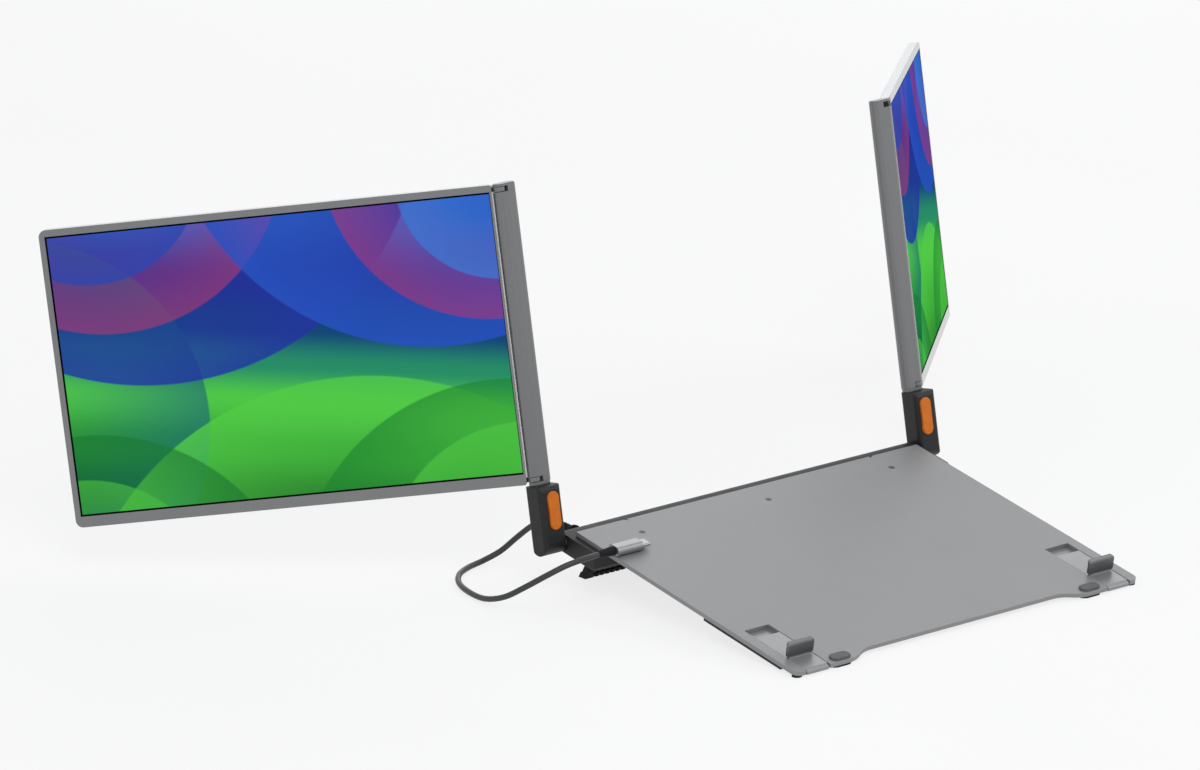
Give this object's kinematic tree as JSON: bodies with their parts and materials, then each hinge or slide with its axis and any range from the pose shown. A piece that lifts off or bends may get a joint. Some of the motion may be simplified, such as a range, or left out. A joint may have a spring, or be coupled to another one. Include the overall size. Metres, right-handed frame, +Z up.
{
  "type": "laptop screen extender",
  "caption": "Stand plate for a laptop with a folding leg, sliding front lips and two display panels on tilting columns with swing hinges and release buttons.",
  "frame": {"origin": "middle of the outline on the table, under the object, without its cord", "axes": "+X to the user's right, +Y away from the user, +Z up from the table"},
  "size_m": [0.7812, 0.5072, 0.2737],
  "materials": {
    "plate_steel": "satin grey coated steel sheet",
    "grey_rubber": "matt grey rubber",
    "black_rubber": "matt black rubber",
    "dark_plastic": "fine textured dark grey plastic",
    "fastener_steel": "plated steel",
    "circuit_board": "green lacquered board",
    "hinge_steel": "ground steel",
    "cord_jacket": "smooth dark grey jacket",
    "plug_alloy": "bead blasted grey aluminium",
    "leg_metal": "satin grey paint",
    "lip_metal": "satin grey paint",
    "column_alloy": "brushed grey anodised aluminium",
    "orange_plastic": "satin orange plastic",
    "silver_alloy": "bead blasted silver aluminium",
    "bezel_alloy": "satin grey anodised aluminium",
    "display_glass": "glossy display glass, lit",
    "clear_plastic": "white light guide"
  },
  "bodies": {
    "stand": {"base_plate": "plate_steel", "top_pads": "grey_rubber", "front_feet": "black_rubber", "slide_guides": "dark_plastic", "guide_screws": "fastener_steel", "rear_beam": "dark_plastic", "beam_cover": "dark_plastic", "plate_screws": "fastener_steel", "cover_screws": "fastener_steel", "hub_board": "circuit_board", "tilt_pins": "hinge_steel", "tilt_washers": "hinge_steel", "leg_pins": "hinge_steel", "cable_gland": "black_rubber", "usb_cord": "cord_jacket", "strain_relief": "black_rubber", "plug_shell": "plug_alloy", "plug_tip": "hinge_steel"},
    "kickstand": {"kick_leg": "leg_metal", "kick_rubber": "black_rubber"},
    "left_slider": {"left_lip": "lip_metal", "left_lip_pad": "grey_rubber"},
    "left_support": {"left_housing": "dark_plastic", "left_column": "column_alloy", "left_cap": "dark_plastic", "left_foot": "column_alloy", "left_swing_pins": "hinge_steel", "left_barrels": "hinge_steel"},
    "left_release": {"left_button": "orange_plastic", "left_latch": "hinge_steel"},
    "left_screen": {"left_cover": "silver_alloy", "left_frame": "bezel_alloy", "left_display": "display_glass", "left_light_guide": "clear_plastic", "left_driver": "circuit_board", "left_arms": "hinge_steel"},
    "right_slider": {"right_lip": "lip_metal", "right_lip_pad": "grey_rubber"},
    "right_support": {"right_housing": "dark_plastic", "right_column": "column_alloy", "right_cap": "dark_plastic", "right_foot": "column_alloy", "right_swing_pins": "hinge_steel", "right_barrels": "hinge_steel"},
    "right_release": {"right_button": "orange_plastic", "right_latch": "hinge_steel"},
    "right_screen": {"right_cover": "silver_alloy", "right_frame": "bezel_alloy", "right_display": "display_glass", "right_light_guide": "clear_plastic", "right_driver": "circuit_board", "right_arms": "hinge_steel"}
  },
  "joints": [
    {"name": "kickstand_fold", "type": "hinge", "parent": "stand", "child": "kickstand", "pos_m": [0, -0.0218, 0.02271], "axis": [1, 0, 0], "range_deg": [-108, 0]},
    {"name": "left_lip_slide", "type": "slide", "parent": "stand", "child": "left_slider", "axis": [0, 0.9871, 0.1599], "range_m": [-0.004, 0.01]},
    {"name": "left_tilt", "type": "hinge", "parent": "stand", "child": "left_support", "pos_m": [-0.165, -0.01639, 0.03311], "axis": [1, 0, 0], "range_deg": [-7.5, 20]},
    {"name": "left_button_press", "type": "slide", "parent": "left_support", "child": "left_release", "axis": [0, 0.9823, -0.1874], "range_m": [0, 0.0025], "stiffness_N_per_m": 400, "springref_m": -0.002},
    {"name": "left_swing", "type": "hinge", "parent": "left_support", "child": "left_screen", "pos_m": [-0.16895, 0.01401, 0.16984], "axis": [0, 0.1874, 0.9823], "range_deg": [-44, 136]},
    {"name": "right_lip_slide", "type": "slide", "parent": "stand", "child": "right_slider", "axis": [0, 0.9871, 0.1599], "range_m": [-0.004, 0.01]},
    {"name": "right_tilt", "type": "hinge", "parent": "stand", "child": "right_support", "pos_m": [0.165, -0.01639, 0.03311], "axis": [1, 0, 0], "range_deg": [-7.5, 20]},
    {"name": "right_button_press", "type": "slide", "parent": "right_support", "child": "right_release", "axis": [0, 0.9823, -0.1874], "range_m": [0, 0.0025], "stiffness_N_per_m": 400, "springref_m": -0.002},
    {"name": "right_swing", "type": "hinge", "parent": "right_support", "child": "right_screen", "pos_m": [0.16895, 0.01401, 0.16984], "axis": [0, 0.1874, 0.9823], "range_deg": [-136, 44]}
  ]
}
